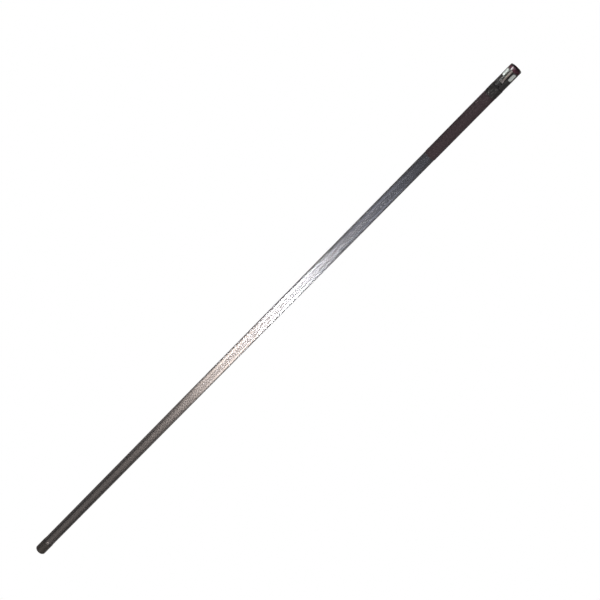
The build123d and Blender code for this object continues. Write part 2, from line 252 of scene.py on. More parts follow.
@dataclass(frozen=True)
class DrawnAluminium(Finish):
    """Aluminium tube drawn through a die and anodised: fine streaks along it, satin in one direction."""

    # die lines are about 0.1 mm wide, and are drawn coarser so that they show
    streak: Point = (120 * MM, 0.5 * MM, 0.5 * MM)
    streak_depth: float = 0.02 * MM
    patch: Point = (90 * MM, 12 * MM, 12 * MM)
    roughness_spread: float = 0.06
    tint_spread: float = 0.10
    anisotropy: float = 0.8

    def patterns(self, tree: Tree, place: Socket) -> Inputs:
        """Streaks change its roughness and height, and wider patches its colour."""
        streaks = self.cells(tree, place, self.streak, 3.0)
        patches = self.cells(tree, place, self.patch)
        reach = self.roughness_spread / 2
        rough = noise_range(streaks, self.roughness - reach, self.roughness + reach)
        stops = [(0.3, self.shade(1 - self.tint_spread)), (0.7, self.shade(1 + self.tint_spread))]
        relief = {"Height": streaks, "Distance": self.streak_depth, "Strength": 0.35}
        return {
            **streak_shine(tree, self.anisotropy),
            "Base Color": add_node(tree, "ValToRGB", {"Fac": patches}, stops),
            "Roughness": add_node(tree, "MapRange", rough),
            "Normal": add_node(tree, "Bump", relief),
        }


@dataclass(frozen=True)
class KnurledAluminium(Finish):
    """The same tube with a knurl rolled in: hands rub its crests brighter, and its hollows stay dark."""

    crest: str = "#828285"
    anisotropy: float = 0.8
    hollow_dulling: float = 0.12
    crest_polish: float = 0.06
    wear: Point = (30 * MM, 4 * MM, 4 * MM)
    grit: float = 0.6 * MM  # the etch under anodising is far finer, and is drawn coarser so that it shows
    grit_depth: float = 0.02 * MM

    def patterns(self, tree: Tree, place: Socket) -> Inputs:
        """The mesh's crest attribute, 1 on a ridge and 0 in a hollow, sets its colour and roughness."""
        crest = add_node(tree, "Attribute", attribute_name="crest").outputs["Fac"]
        wear = noise_range(self.cells(tree, place, self.wear, 3.0), 0.65, 1.1)
        worn = add_node(tree, "MapRange", wear)
        rubbed_and_lit_share = add_node(tree, "Math", {0: crest, 1: worn}, operation="MULTIPLY")
        stops = [(0.05, linear(self.colour)), (0.85, linear(self.crest))]
        dull, bright = self.roughness + self.hollow_dulling, self.roughness - self.crest_polish
        rough = {"Value": rubbed_and_lit_share, "To Min": dull, "To Max": bright}
        grit = self.cells(tree, place, (self.grit,) * 3)
        relief = {"Height": grit, "Distance": self.grit_depth, "Strength": 0.3}
        return {
            **streak_shine(tree, self.anisotropy),
            "Base Color": add_node(tree, "ValToRGB", {"Fac": rubbed_and_lit_share}, stops),
            "Roughness": add_node(tree, "MapRange", rough),
            "Normal": add_node(tree, "Bump", relief),
        }


@dataclass(frozen=True)
class MouldedPlastic(Finish):
    """Moulded plastic: an even spark-eroded grain, with faint cloudy flow marks in its gloss, and painted
    shade in its hollows where a recess colour is given.
    """

    grain: float = 0.4 * MM  # a real grain is about 0.1 mm, and is drawn coarser so that it shows
    grain_depth: float = 0.03 * MM
    flow: Point = (20 * MM, 8 * MM, 8 * MM)
    clouds: float = 0.08
    lighter: float = 1.25
    # the colour of the painted shade in slots and hollows, if any
    recess: str | None = None
    recess_depths: tuple[float, float] = (13.6 * MM, 14.9 * MM)

    def patterns(self, tree: Tree, place: Socket) -> Inputs:
        """Flow marks change its colour and roughness, and the grain its height."""
        grain = self.cells(tree, place, (self.grain,) * 3)
        flow = self.cells(tree, place, self.flow, 3.0)
        rough = noise_range(flow, self.roughness - self.clouds / 2, self.roughness + self.clouds / 2)
        stops = [(0.35, linear(self.colour)), (0.7, self.shade(self.lighter))]
        colour = add_node(tree, "ValToRGB", {"Fac": flow}, stops).outputs[0]
        relief = {"Height": grain, "Distance": self.grain_depth, "Strength": 0.5}
        return {
            # painted shade darkens the slots and hollows where a recess colour is given
            "Base Color": self.paint_hollow_shade(tree, place, colour) if self.recess else colour,
            "Roughness": add_node(tree, "MapRange", rough),
            "Normal": add_node(tree, "Bump", relief),
        }

    def paint_hollow_shade(self, tree: Tree, place: Socket, colour: Socket) -> Socket:
        """Paints shade into the colour in slots and hollows: the nearer a point lies to the pole's axis, the
        darker it is drawn.

        How deep a point lies is its distance from the pole's axis: the length of its place without X,
        counted from the axis.

        Args:
            tree: the node tree.
            place: the object coordinates.
            colour: the colour of the outer skin, outside the painted shade.

        Returns:
            The colour with painted shade in the hollows.
        """
        steps = (("SUBTRACT", (0.0, 0.0, AXIS_HEIGHT)), ("MULTIPLY", (0.0, 1.0, 1.0)))
        across: Socket | Node = place
        for operation, amount in steps:
            across = add_node(tree, "VectorMath", {0: across, 1: amount}, operation=operation)
        distance = add_node(tree, "VectorMath", {0: across}, operation="LENGTH").outputs["Value"]
        deep, high = self.recess_depths
        depths = {"Value": distance, "From Min": deep, "From Max": high}
        # 0 deep in a hollow and 1 on the outer skin: how far a point lies out of the painted shade
        rubbed_and_lit_share = add_node(tree, "MapRange", depths)
        both = {0: rubbed_and_lit_share, 6: linear(self.recess), 7: colour}
        return add_node(tree, "Mix", both, data_type="RGBA").outputs[2]


@dataclass(frozen=True)
class ShrunkPolyolefin(Finish):
    """Heat-shrunk polyolefin sleeve: a dull rubbery skin with soft lengthwise creases and some lint."""

    dust: str = "#54504f"
    blush: str = "#4d3e44"
    skin: float = 0.9 * MM
    crease: Point = (40 * MM, 3 * MM, 3 * MM)
    speck: Point = (2.0 * MM, 1.4 * MM, 1.4 * MM)
    relief_depth: float = 0.06 * MM
    clouds: float = 0.06

    def patterns(self, tree: Tree, place: Socket) -> Inputs:
        """Lint changes its colour, creases its roughness, and creases and skin its height."""
        skin = self.cells(tree, place, (self.skin,) * 3, 4.0)
        creases = self.cells(tree, place, self.crease)
        specks = self.cells(tree, place, self.speck, 3.0)
        stops = [(0.34, linear(self.colour)), (0.52, linear(self.blush)), (0.68, linear(self.dust))]
        rough = noise_range(creases, self.roughness - self.clouds, self.roughness + self.clouds)
        height = add_node(tree, "Math", {0: creases, 1: skin}, operation="ADD")
        relief = {"Height": height, "Distance": self.relief_depth, "Strength": 0.5}
        return {
            "Specular IOR Level": 0.25,
            "Sheen Weight": 0.06,
            "Sheen Roughness": 0.5,
            "Base Color": add_node(tree, "ValToRGB", {"Fac": specks}, stops),
            "Roughness": add_node(tree, "MapRange", rough),
            "Normal": add_node(tree, "Bump", relief),
        }


@dataclass(frozen=True)
class Steel(Finish):
    """Steel wire, strip or fasteners: drawn, rolled or oxide-blacked, with small dark spots from its oil."""

    spots: str = "#1a1815"
    spot: float = 1.2 * MM
    spot_depth: float = 0.02 * MM
    spot_dulling: float = 0.12

    def patterns(self, tree: Tree, place: Socket) -> Inputs:
        """Its spots are darker, duller and a little sunk."""
        blotches = self.cells(tree, place, (self.spot,) * 3, 3.0)
        stops = [(0.32, linear(self.spots)), (0.52, linear(self.colour))]
        rough = noise_range(blotches, self.roughness + self.spot_dulling, self.roughness)
        relief = {"Height": blotches, "Distance": self.spot_depth, "Strength": 0.3}
        return {
            "Base Color": add_node(tree, "ValToRGB", {"Fac": blotches}, stops),
            "Roughness": add_node(tree, "MapRange", rough),
            "Normal": add_node(tree, "Bump", relief),
        }


@dataclass(frozen=True)
class PressedFelt(Finish):
    """Felt or foam: a matte body of tangled fibres or cells, rough enough to hold paint dust."""

    cell: float = 0.7 * MM
    depth: float = 0.2 * MM
    light: str = "#6f6c66"

    def patterns(self, tree: Tree, place: Socket) -> Inputs:
        """One noise of fibres changes its colour and height."""
        fibres = self.cells(tree, place, (self.cell,) * 3, 5.0)
        stops = [(0.35, linear(self.colour)), (0.75, linear(self.light))]
        relief = {"Height": fibres, "Distance": self.depth, "Strength": 0.7}
        return {
            "Sheen Weight": 0.3,
            "Base Color": add_node(tree, "ValToRGB", {"Fac": fibres}, stops),
            "Normal": add_node(tree, "Bump", relief),
        }


FINISHES: dict[Slot, Finish] = {
    # dark anodising over drawn aluminium gives a gunmetal satin with long soft streaks
    Slot.TUBE: DrawnAluminium("drawn_gunmetal_anodised_aluminium", "#8a8a8d", 0.30, 1.0),
    # clear anodising leaves the inner tube pale and satin
    Slot.INNER_TUBE: DrawnAluminium("drawn_clear_anodised_aluminium", "#c4c6c9", 0.26, 1.0),
    # shrunk polyolefin reads as a dull brownish black
    Slot.SLEEVE: ShrunkPolyolefin("heat_shrunk_polyolefin", "#3f373a", 0.64),
    # glass-filled nylon from a spark-eroded mould is near black with a soft shine; its slots and hollows get
    # a darker painted shade
    Slot.NYLON: MouldedPlastic("moulded_glass_filled_nylon", "#302f2e", 0.40, recess="#141210"),
    # the coloured slider is moulded acetal with a glossy skin
    Slot.WINE: MouldedPlastic(
        "moulded_wine_red_acetal", "#3f1e29", 0.17, grain_depth=0.01 * MM, lighter=1.15
    ),
    # the pads are a soft grey thermoplastic rubber
    Slot.PAD: MouldedPlastic("overmoulded_grey_rubber", "#7d7978", 0.55, grain=0.6 * MM),
    # machined white acetal is slightly waxy
    Slot.ACETAL: MouldedPlastic(
        "machined_white_acetal", "#e4ebe8", 0.35, grain=0.8 * MM, grain_depth=0.01 * MM, lighter=1.05
    ),
    # rolled stainless strip, brushed to a satin, mirrors the room in a warm blurred grey
    Slot.SATIN_STEEL: Steel("rolled_satin_stainless_steel", "#b5aca6", 0.34, 1.0, spots="#8d8580"),
    # black oxide leaves screws and rivets a dark brownish grey with a soft shine
    Slot.DARK_STEEL: Steel("oxide_blacked_steel", "#2b2a29", 0.35, 1.0),
    # drawn spring wire stays bright, with darker oily spots
    Slot.SPRING_STEEL: Steel("drawn_spring_steel", "#9b9c9e", 0.28, 1.0, spots="#5c5a55"),
    # the cut cells of foam rubber leave it matte and almost black
    Slot.BUMPER: PressedFelt("closed_cell_foam_rubber", "#161616", 0.85, cell=1.0 * MM, light="#2e2e2e"),
    # pressed wool is a dull, fibrous grey
    Slot.FELT: PressedFelt("pressed_grey_wool_felt", "#4a4844", 0.95),
}
BAND_FINISH = KnurledAluminium("rolled_knurl_anodised_aluminium", "#6b6b6e", 0.33, 1.0)


# ---- Meshes ----


@dataclass
class Draft:
    """Collects grids of points and writes them as one closed mesh."""

    points: list[Array] = field(default_factory=list)
    faces: list[Array] = field(default_factory=list)
    crests: list[Array] = field(default_factory=list)
    count: int = 0

    def add(
        self, grid: Array, loop: bool = True, capped: bool = False, crest: Array | None = None
    ) -> Draft:
        """Adds a surface whose columns close on themselves.

        Each point joins its neighbours in the grid by four-sided faces. The signed volume under the faces
        says whether they point inwards, and then they are turned round.

        Args:
            grid: points, by row, column and coordinate.
            loop: the last row joins the first one.
            capped: each end row gets one flat face.
            crest: a number for each point, for the finish to read.

        Returns:
            The draft itself.
        """
        rows, columns = grid.shape[:2]
        index = np.arange(rows * columns).reshape(rows, columns)
        here = index if loop else index[:-1]
        there = np.roll(index, -1, axis=0) if loop else index[1:]
        corners = [here, there, np.roll(there, -1, axis=1), np.roll(here, -1, axis=1)]
        quads = np.stack(corners, axis=-1).reshape(-1, 4)
        flat = grid.reshape(-1, 3)
        middle = flat.mean(axis=0)
        a, b, c, d = (flat[quads[:, k]] - middle for k in range(4))
        volume = np.einsum("ij,ij->i", a, np.cross(b, c) + np.cross(c, d)).sum()
        caps = [index[0], index[-1][::-1]] if capped else []
        if volume < 0:
            quads = quads[:, ::-1]
            caps = [cap[::-1] for cap in caps]
        self.points.append(flat)
        self.faces.append(quads + self.count)
        self.faces.extend(cap[None, :] + self.count for cap in caps)
        self.crests.append(np.zeros(len(flat)) if crest is None else crest.reshape(-1))
        self.count += len(flat)
        return self

    def build(self, name: str, sharp: float = 32.0, weld: bool = False) -> Object:
        """Writes the mesh.

        Args:
            name: the new object's name.
            sharp: edges that turn by more than this many degrees are drawn sharp.
            weld: points in one place are merged, which closes poles.

        Returns:
            The new object, at the origin.
        """
        mesh = bpy.data.meshes.new(name)
        points = np.concatenate(self.points)
        corners = np.concatenate([f.reshape(-1) for f in self.faces])
        sizes = np.concatenate([np.full(len(f), f.shape[1]) for f in self.faces])
        starts = np.concatenate([[0], np.cumsum(sizes)[:-1]])
        mesh.vertices.add(len(points))
        mesh.vertices.foreach_set("co", points.astype(np.float32).reshape(-1))
        mesh.loops.add(len(corners))
        mesh.loops.foreach_set("vertex_index", corners.astype(np.int32))
        mesh.polygons.add(len(sizes))
        mesh.polygons.foreach_set("loop_start", starts.astype(np.int32))
        mesh.update(calc_edges=True)
        crests = mesh.attributes.new("crest", "FLOAT", "POINT")
        crests.data.foreach_set("value", np.concatenate(self.crests).astype(np.float32))
        if weld:
            merge_points(mesh)
        return add_piece(name, mesh, sharp)


def add_piece(name: str, mesh: bpy.types.Mesh, sharp: float) -> Object:
    """Makes an object of a mesh, shaded smooth apart from edges that turn by more than sharp degrees."""
    mesh.polygons.foreach_set("use_smooth", np.ones(len(mesh.polygons), dtype=bool))
    mesh.set_sharp_from_angle(angle=math.radians(sharp))
    piece = bpy.data.objects.new(name, mesh)
    bpy.context.scene.collection.objects.link(piece)
    return piece


def merge_points(mesh: bpy.types.Mesh, distance: float = 1e-7) -> None:
    """Merges points in one place and drops the faces that this leaves without area."""
    work = bmesh.new()
    work.from_mesh(mesh)
    bmesh.ops.remove_doubles(work, verts=work.verts, dist=distance)
    bmesh.ops.dissolve_degenerate(work, edges=work.edges, dist=distance)
    work.to_mesh(mesh)
    work.free()


def smoothstep(low: float, high: float, value: Array) -> Array:
    """Rises from 0 at low to 1 at high along a cubic with level ends."""
    share = np.clip((value - low) / (high - low), 0, 1)
    return share * share * (3 - 2 * share)


def around(count: int) -> Array:
    """Evenly spaced angles of one turn, without its end."""
    return np.arange(count) * TURN / count


def corner_arc(
    station: float, radius: float, bend: float, start: float, stop: float, steps: int
) -> Array:
    """Points of a rounded corner in a lengthwise profile.

    The corner is a quarter circle of radius bend about (station, radius). Angles are in degrees, with 0
    towards the butt and 90 outwards.
    """
    turn = np.radians(np.linspace(start, stop, steps))
    return np.stack([station + bend * np.cos(turn), radius + bend * np.sin(turn)], axis=-1)


def level(stations: Array, radius: float) -> Array:
    """Points of a lengthwise profile that all have one radius."""
    return np.stack([stations, np.full_like(stations, radius)], axis=-1)


@dataclass(frozen=True)
class PoleAxis:
    """The line that the pole is built round, read from the frame."""

    tip: float
    height: float

    @classmethod
    def from_frame(cls) -> PoleAxis:
        """Reads the tip from the slider ring and the height from the outer tube."""
        low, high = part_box("outer_tube")
        return cls(tip=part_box("release_slider")[1].x, height=(low.z + high.z) / 2)

    def place(self, station: Array, radius: Array, angle: Array) -> Array:
        """Points at stations, radii and angles, with x back from the tip and y, z round the axis."""
        station, radius, angle = np.broadcast_arrays(station, radius, angle)
        return np.stack(
            [self.tip - station, -radius * np.sin(angle), self.height + radius * np.cos(angle)], axis=-1
        )

    def span(self, node: str) -> tuple[float, float]:
        """The stations of a CAD node's front and back."""
        low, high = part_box(node)
        return self.tip - high.x, self.tip - low.x

    def turned(self, profile: Array, columns: int, shape: Shape | None = None) -> Array:
        """A lengthwise profile carried round the axis.

        Args:
            profile: station and radius of each point.
            columns: how many steps the turn has.
            shape: gives the radius from station, radius and angle, where it isn't the same all round.

        Returns:
            A grid of points.
        """
        station, radius = profile[:, 0:1], profile[:, 1:2]
        angle = around(columns)[None, :]
        if shape is not None:
            radius = shape(station, radius, angle)
        return self.place(station, radius, angle)


def from_middle(angle: Array, sides: int) -> Array:
    """The angle from the middle of the nearest of some equal sides, the first of which faces straight up."""
    share = TURN / sides
    return np.mod(angle + share / 2, share) - share / 2


def octagon(angle: Array, flat: float, corner: float) -> Array:
    """Distance from an axis to an eight-sided outline whose corners are turned down.

    Between two corners the outline is straight, so it is flat / cos of the angle from its middle. A high
    power mean with the corner's radius rounds the change between them.
    """
    side = flat / np.cos(from_middle(angle, 8))
    power = 160.0
    return (side**-power + corner**-power) ** (-1 / power)


def finish_piece(
    piece: Object, body: Body, slot: Slot, material: Material, *nodes: str
) -> Object:
    """Dresses a new piece, joins it to its body and hides the CAD nodes that it replaces.

    Args:
        piece: the new object.
        body: the body that it moves with.
        slot: the record's slot that its finish belongs to; not used.
        material: its finish.
        nodes: the CAD nodes that it replaces.

    Returns:
        The same object.
    """
    piece.data.materials.clear()
    piece.data.materials.append(material)
    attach(piece, body.value)
    if nodes:
        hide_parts(*nodes)
    LOG.info("piece %s: %d faces on body %s", piece.name, len(piece.data.polygons), body.value)
    return piece


@dataclass
class Part:
    """What the sub-assemblies share: the pole's axis and the finishes."""

    axis: PoleAxis
    materials: dict[Slot, Material]

    def dress(self, piece: Object, body: Body, slot: Slot, *nodes: str) -> Object:
        """Finishes a new piece with the material of its slot."""
        return finish_piece(piece, body, slot, self.materials[slot], *nodes)


# ---- Outer section ----


@dataclass
class OuterTube(Part):
    """The outer tube with four shallow bands rolled into it, and the knurl that fills each band."""

    band_material: Material
    radius: float = 15.0 * MM
    bore: float = 13.5 * MM
    band_front: float = 276.0 * MM
    band_back: float = 1900.0 * MM
    band_width: float = 12.6 * MM
    band_depth: float = 0.3 * MM
    band_count: int = 4
    band_gap: float = 0.1 * MM
    band_inset: float = 0.35 * MM
    band_lift: float = 0.02 * MM
    band_thickness: float = 0.15 * MM
    edge: float = 0.3 * MM
    knurl_pitch: float = 7.0 * MM  # a real knurl's is about 1.5 mm, and is drawn coarser so that it shows
    knurl_rise: float = 0.10 * MM
    knurl_step: float = 0.7 * MM
    knurl_fade: float = 0.8 * MM
    knurl_columns: int = 21

    def recess(self, station: Array, angle: Array) -> Array:
        """How far the bands sink the surface: fully in a strip with round ends, and less across its edge."""
        half = self.band_width / 2
        across = from_middle(angle, self.band_count) * self.radius
        ahead = np.maximum(self.band_front + half - station, 0)
        beyond = ahead + np.maximum(station - self.band_back + half, 0)
        distance = np.hypot(beyond, across) - half
        return self.band_depth * smoothstep(self.edge, -self.edge, distance)

    def angles(self) -> Array:
        """Angles round the tube, closer together where a band's edge is."""
        edge_angle = self.band_width / 2 / self.radius
        near = np.array([-1.0, -0.5, 0.0, 0.5, 1.0]) * self.edge / self.radius
        quarter = TURN / self.band_count
        inside = np.linspace(-edge_angle, edge_angle, 15)[1:-1]
        outside = np.linspace(edge_angle, quarter - edge_angle, 13)[1:-1]
        one = np.concatenate([inside, edge_angle + near, outside, quarter - edge_angle + near])
        return np.sort(np.concatenate([one + k * quarter for k in range(self.band_count)]))

    def build_tube(self) -> Object:
        """Makes the tube: its outside follows recess(), and its bore and ends are plain."""
        front, back = self.axis.span("outer_tube")
        half = self.band_width / 2
        ends = np.linspace(-1 * MM, half + 1 * MM, 24)
        stations = np.concatenate(
            [
                [front, front + 60 * MM, self.band_front - 4 * MM],
                self.band_front + ends,
                np.linspace(self.band_front + 40 * MM, self.band_back - 40 * MM, 40),
                np.sort(self.band_back - ends),
                [self.band_back + 8 * MM, back],
            ]
        )[:, None]
        angle = self.angles()[None, :]
        outside = self.axis.place(stations, self.radius - self.recess(stations, angle), angle)
        inner_stations = np.array([[back], [front]])
        inside = self.axis.place(inner_stations, self.bore, angle)
        draft = Draft().add(np.concatenate([outside, inside]))
        return self.dress(draft.build("outer_tube_shell"), Body.OUTER, Slot.TUBE, "outer_tube")

    def knurl(self, along: Array, across: Array) -> Array:
        """Height of the knurl, 0 to 1: the higher of two sets of diagonal ridges, cubed raised cosines."""
        first = 0.5 + 0.5 * np.cos(TURN * (along + across) / self.knurl_pitch)
        second = 0.5 + 0.5 * np.cos(TURN * (along - across) / self.knurl_pitch)
        return np.maximum(first, second) ** 3

    def build_band(self, number: int) -> Object:
        """Makes one knurled strip. Its rows cross the band, over the top and back underneath."""
        half = self.band_width / 2 - self.band_gap
        inset = self.band_inset
        length = self.band_back - self.band_front - 2 * inset
        steps = int(length / self.knurl_step)
        station = np.linspace(self.band_front + inset, self.band_back - inset, steps)[:, None]
        to_end = np.minimum(station - self.band_front, self.band_back - station)
        short = np.clip(half - to_end, 0, None)
        width = np.sqrt(np.clip(half**2 - short**2, 0, None))
        share = np.linspace(-1, 1, self.knurl_columns)[None, :]
        across = width * share
        crest = self.knurl(station, across) * smoothstep(0, self.knurl_fade, width - np.abs(across))
        floor = self.radius - self.band_depth + self.band_lift
        middle = number * TURN / self.band_count
        top = self.axis.place(station, floor + self.knurl_rise * crest, across / self.radius + middle)
        under_share = np.array([[0.97, 0.0, -0.97]])
        under_angle = width * under_share / self.radius + middle
        under = self.axis.place(station, floor - self.band_thickness, under_angle)
        grid = np.concatenate([top, under], axis=1)
        values = np.concatenate([crest, np.zeros((steps, under_share.size))], axis=1)
        draft = Draft().add(grid, loop=False, capped=True, crest=values)
        piece = draft.build(f"knurled_band_{number + 1}", 60.0)
        return finish_piece(piece, Body.OUTER, Slot.TUBE, self.band_material)

    def build(self) -> None:
        """Makes the tube and its bands."""
        self.build_tube()
        for number in range(self.band_count):
            self.build_band(number)


@dataclass
class GripSleeve(Part):
    """The shrunk sleeve over the tube's front: it follows the tube, with soft creases and drawn-in ends."""

    radius: float = 15.37 * MM
    bore: float = 15.02 * MM
    crease: float = 0.035 * MM
    lip: float = 0.35 * MM
    end_pull: float = 0.22 * MM
    end_reach: float = 0.5 * MM
    columns: int = 144

    def build(self) -> Object:
        """Makes the sleeve. Its radius is a sum of two slow waves, and eases in at both ends."""
        front, back = self.axis.span("grip_sleeve")
        lip = self.lip * np.array([0, 0.3, 1, 2.5])
        inner = np.linspace(front + 2 * MM, back - 2 * MM, 70)
        stations = np.concatenate([front + lip, inner, back - lip[::-1]])

        def skin(station: Array, radius: Array, angle: Array) -> Array:
            """The outer radius: creases that wander round the tube as they run along it."""
            waves = np.sin(5 * angle + 90 * station) * np.sin(70 * station)
            waves = waves + 0.6 * np.sin(9 * angle - 150 * station)
            ends = np.minimum(station - front, back - station)
            drawn = self.end_pull * np.exp(-np.clip(ends, 0, None) / self.end_reach)
            return np.maximum(radius + self.crease * waves - drawn, self.bore + 0.05 * MM)

        outside = self.axis.turned(level(stations, self.radius), self.columns, skin)
        inside = self.axis.turned(level(np.array([back, front]), self.bore), self.columns)
        draft = Draft().add(np.concatenate([outside, inside]))
        return self.dress(draft.build("shrink_sleeve_skin"), Body.OUTER, Slot.SLEEVE, "grip_sleeve")


@dataclass
class ButtCap(Part):
    """The moulded cap on the butt: eight flats, a rounded rim, a ringed end face and a hollow spigot."""

    flat: float = 15.5 * MM
    corner: float = 16.0 * MM
    tube_radius: float = 15.0 * MM
    tube_bore: float = 13.5 * MM
    spigot_bore: float = 11.5 * MM
    rim: float = 0.8 * MM
    wall: float = 3.0 * MM
    spigot_length: float = 22.0 * MM
    ring_radii: tuple[float, float] = (9.0 * MM, 10.5 * MM)
    ring_depth: float = 0.5 * MM
    columns: int = 192

    def shape(self, station: Array, radius: Array, angle: Array) -> Array:
        """Points outside the tube follow the octagon, and the rest stay round."""
        outline = octagon(angle, self.flat, self.corner)
        weight = smoothstep(self.tube_radius + 0.02 * MM, self.flat - self.rim, radius)
        return radius * (1 - weight) + weight * radius * outline / self.flat

    def build(self) -> Object:
        """Makes the cap from a profile that starts and ends on the axis."""
        front, back = self.axis.span("butt_cap")
        inner_wall = back - self.wall
        first, second = self.ring_radii
        bottom = back - self.ring_depth
        soft = 0.25 * MM
        face = [[back, 0.0], [back, first - soft], [bottom, first], [bottom, second], [back, second + soft]]
        rim = corner_arc(back - self.rim, self.flat - self.rim, self.rim, 0, 90, 6)
        lip = corner_arc(front + 0.3 * MM, self.flat - 0.3 * MM, 0.3 * MM, 90, 180, 4)
        seat = self.tube_radius + 0.01 * MM
        end = inner_wall - self.spigot_length
        spigot = [[inner_wall, self.tube_bore], [end, self.tube_bore], [end, self.spigot_bore]]
        rest = [[front, seat], [inner_wall, seat], *spigot, [inner_wall, self.spigot_bore], [inner_wall, 0.0]]
        side = level(np.linspace(back - 2 * MM, front + 1 * MM, 8), self.flat)
        profile = np.concatenate([face, rim, side, lip, rest])
        draft = Draft().add(self.axis.turned(profile, self.columns, self.shape), loop=False)
        piece = draft.build("butt_cap_moulding", 28.0, weld=True)
        return self.dress(piece, Body.OUTER, Slot.NYLON, "butt_cap")


@dataclass
class TwistCollar(Part):
    """The twist collar: eight soft flats with two finger dimples along each, hollow inside."""

    flat: float = 15.5 * MM
    corner: float = 16.0 * MM
    bend: float = 1.1 * MM
    cavity: float = 14.5 * MM
    lip_bore: float = 11.9 * MM
    land_bore: float = 13.27 * MM
    wiper_radius: float = 13.8 * MM
    cavity_front: float = 61.0 * MM
    cavity_back: float = 73.6 * MM
    wiper_front: float = 59.0 * MM
    dimple_stations: tuple[float, float] = (65.0 * MM, 75.0 * MM)
    dimple_length: float = 7.4 * MM
    dimple_width: float = 3.8 * MM
    dimple_depth: float = 0.5 * MM
    columns: int = 256

    def shape(self, station: Array, radius: Array, angle: Array) -> Array:
        """The outside follows the octagon and sinks into dimples, each a blunt bowl over an oval."""
        weight = smoothstep(self.cavity + 0.1 * MM, self.flat - self.bend + 0.3 * MM, radius)
        across = from_middle(angle, 8) * self.flat / (self.dimple_width / 2)
        sink = 0.0
        for middle in self.dimple_stations:
            along = (station - middle) / (self.dimple_length / 2)
            sink = sink + self.dimple_depth * np.clip(1 - along**2 - across**2, 0, 1) ** 0.75
        outside = radius * octagon(angle, self.flat, self.corner) / self.flat - sink
        return np.where(radius > self.cavity + 0.2 * MM, radius * (1 - weight) + weight * outside, radius)

    def build(self) -> Object:
        """Makes the collar from a closed profile."""
        front, back = self.axis.span("twist_collar")
        rows = np.linspace(front + 1.6 * MM, back - 1.6 * MM, 74)
        outside = np.concatenate(
            [
                corner_arc(front + self.bend, self.flat - self.bend, self.bend, 180, 90, 6),
                level(rows, self.flat),
                corner_arc(back - self.bend, self.flat - self.bend, self.bend, 90, 0, 6),
            ]
        )
        land = [[back, self.land_bore], [self.cavity_back, self.land_bore]]
        cavity = [[self.cavity_back, self.cavity], [self.cavity_front, self.cavity]]
        wiper = [[self.cavity_front, self.wiper_radius], [self.wiper_front, self.wiper_radius]]
        lip = [[front + 0.3 * MM, self.lip_bore], [front, self.lip_bore + 0.3 * MM]]
        inside = [*land, *cavity, *wiper, [self.wiper_front, self.lip_bore], *lip]
        draft = Draft().add(self.axis.turned(np.concatenate([outside, inside]), self.columns, self.shape))
        piece = draft.build("twist_collar_moulding", 40.0)
        return self.dress(piece, Body.COLLAR, Slot.NYLON, "twist_collar")


# ---- Inner section and head ----


@dataclass
class InnerTube(Part):
    """The inner tube, a plain drawn tube with broken edges."""

    radius: float = 11.5 * MM
    bore: float = 10.3 * MM
    edge: float = 0.25 * MM
    columns: int = 128

    def build(self) -> Object:
        """Makes the tube from a closed profile."""
        front, back = self.axis.span("inner_tube")
        stations = np.linspace(front + self.edge, back - self.edge, 30)
        profile = np.concatenate(
            [
                [[front, self.bore + self.edge], [front, self.radius - self.edge]],
                level(stations, self.radius),
                [[back, self.radius - self.edge], [back, self.bore + self.edge]],
                [[back - self.edge, self.bore], [front + self.edge, self.bore]],
            ]
        )
        draft = Draft().add(self.axis.turned(profile, self.columns))
        piece = draft.build("inner_tube_shell", 25.0)
        return self.dress(piece, Body.INNER, Slot.INNER_TUBE, "inner_tube")


@dataclass
class Fastener:
    """A screw or rivet that points at the pole's axis, with a rounded head and perhaps a hexagon socket.

    Its top and bottom are distances from the pole's axis, and socket is the radius of the hexagon's corners.
    """

    axis: PoleAxis
    head_radius: float
    head_height: float
    shank_radius: float
    top: float
    bottom: float
    socket: float = 0.0
    socket_depth: float = 0.0
    columns: int = 36
    rounding: float = 0.45

    def add_to(self, draft: Draft, station: float, angle: float) -> None:
        """Adds one fastener: a profile carried round its own line, where the socket follows a hexagon."""
        bend = min(self.head_height, self.head_radius) * self.rounding
        floor = self.top - self.socket_depth
        rows = [[0.0, self.top], [self.head_radius * 0.4, self.top - bend * 0.05]]
        if self.socket:
            mouth = [[self.socket, self.top - 0.04 * MM], [self.socket * 1.06, self.top]]
            rows = [[0.0, floor], [self.socket * 0.98, floor], *mouth]
        turn = np.radians(np.linspace(90, 0, 5))
        rim = np.stack(
            [self.head_radius - bend + bend * np.cos(turn), self.top - bend + bend * np.sin(turn)], axis=-1
        )
        neck = self.top - self.head_height
        shank = [[self.shank_radius, neck], [self.shank_radius, self.bottom], [0.0, self.bottom]]
        profile = np.concatenate([rows, rim, [[self.head_radius, neck]], shank])
        spin = around(self.columns)[None, :]
        reach, rise = profile[:, 0:1], profile[:, 1:2]
        hexagon = math.cos(TURN / 12) / np.cos(from_middle(spin, 6))
        in_socket = (np.arange(len(profile)) < 3)[:, None] & (self.socket > 0)
        reach = np.where(in_socket, reach * hexagon, reach)
        radial = np.array([0.0, -math.sin(angle), math.cos(angle)])
        side = np.array([0.0, -math.cos(angle), -math.sin(angle)])
        along = np.array([1.0, 0.0, 0.0])
        base = np.array([self.axis.tip - station, 0.0, self.axis.height])
        grid = (
            base
            + (reach * np.cos(spin))[..., None] * along
            + (reach * np.sin(spin))[..., None] * side
            + (rise + 0 * spin)[..., None] * radial
        )
        draft.add(grid, loop=False)


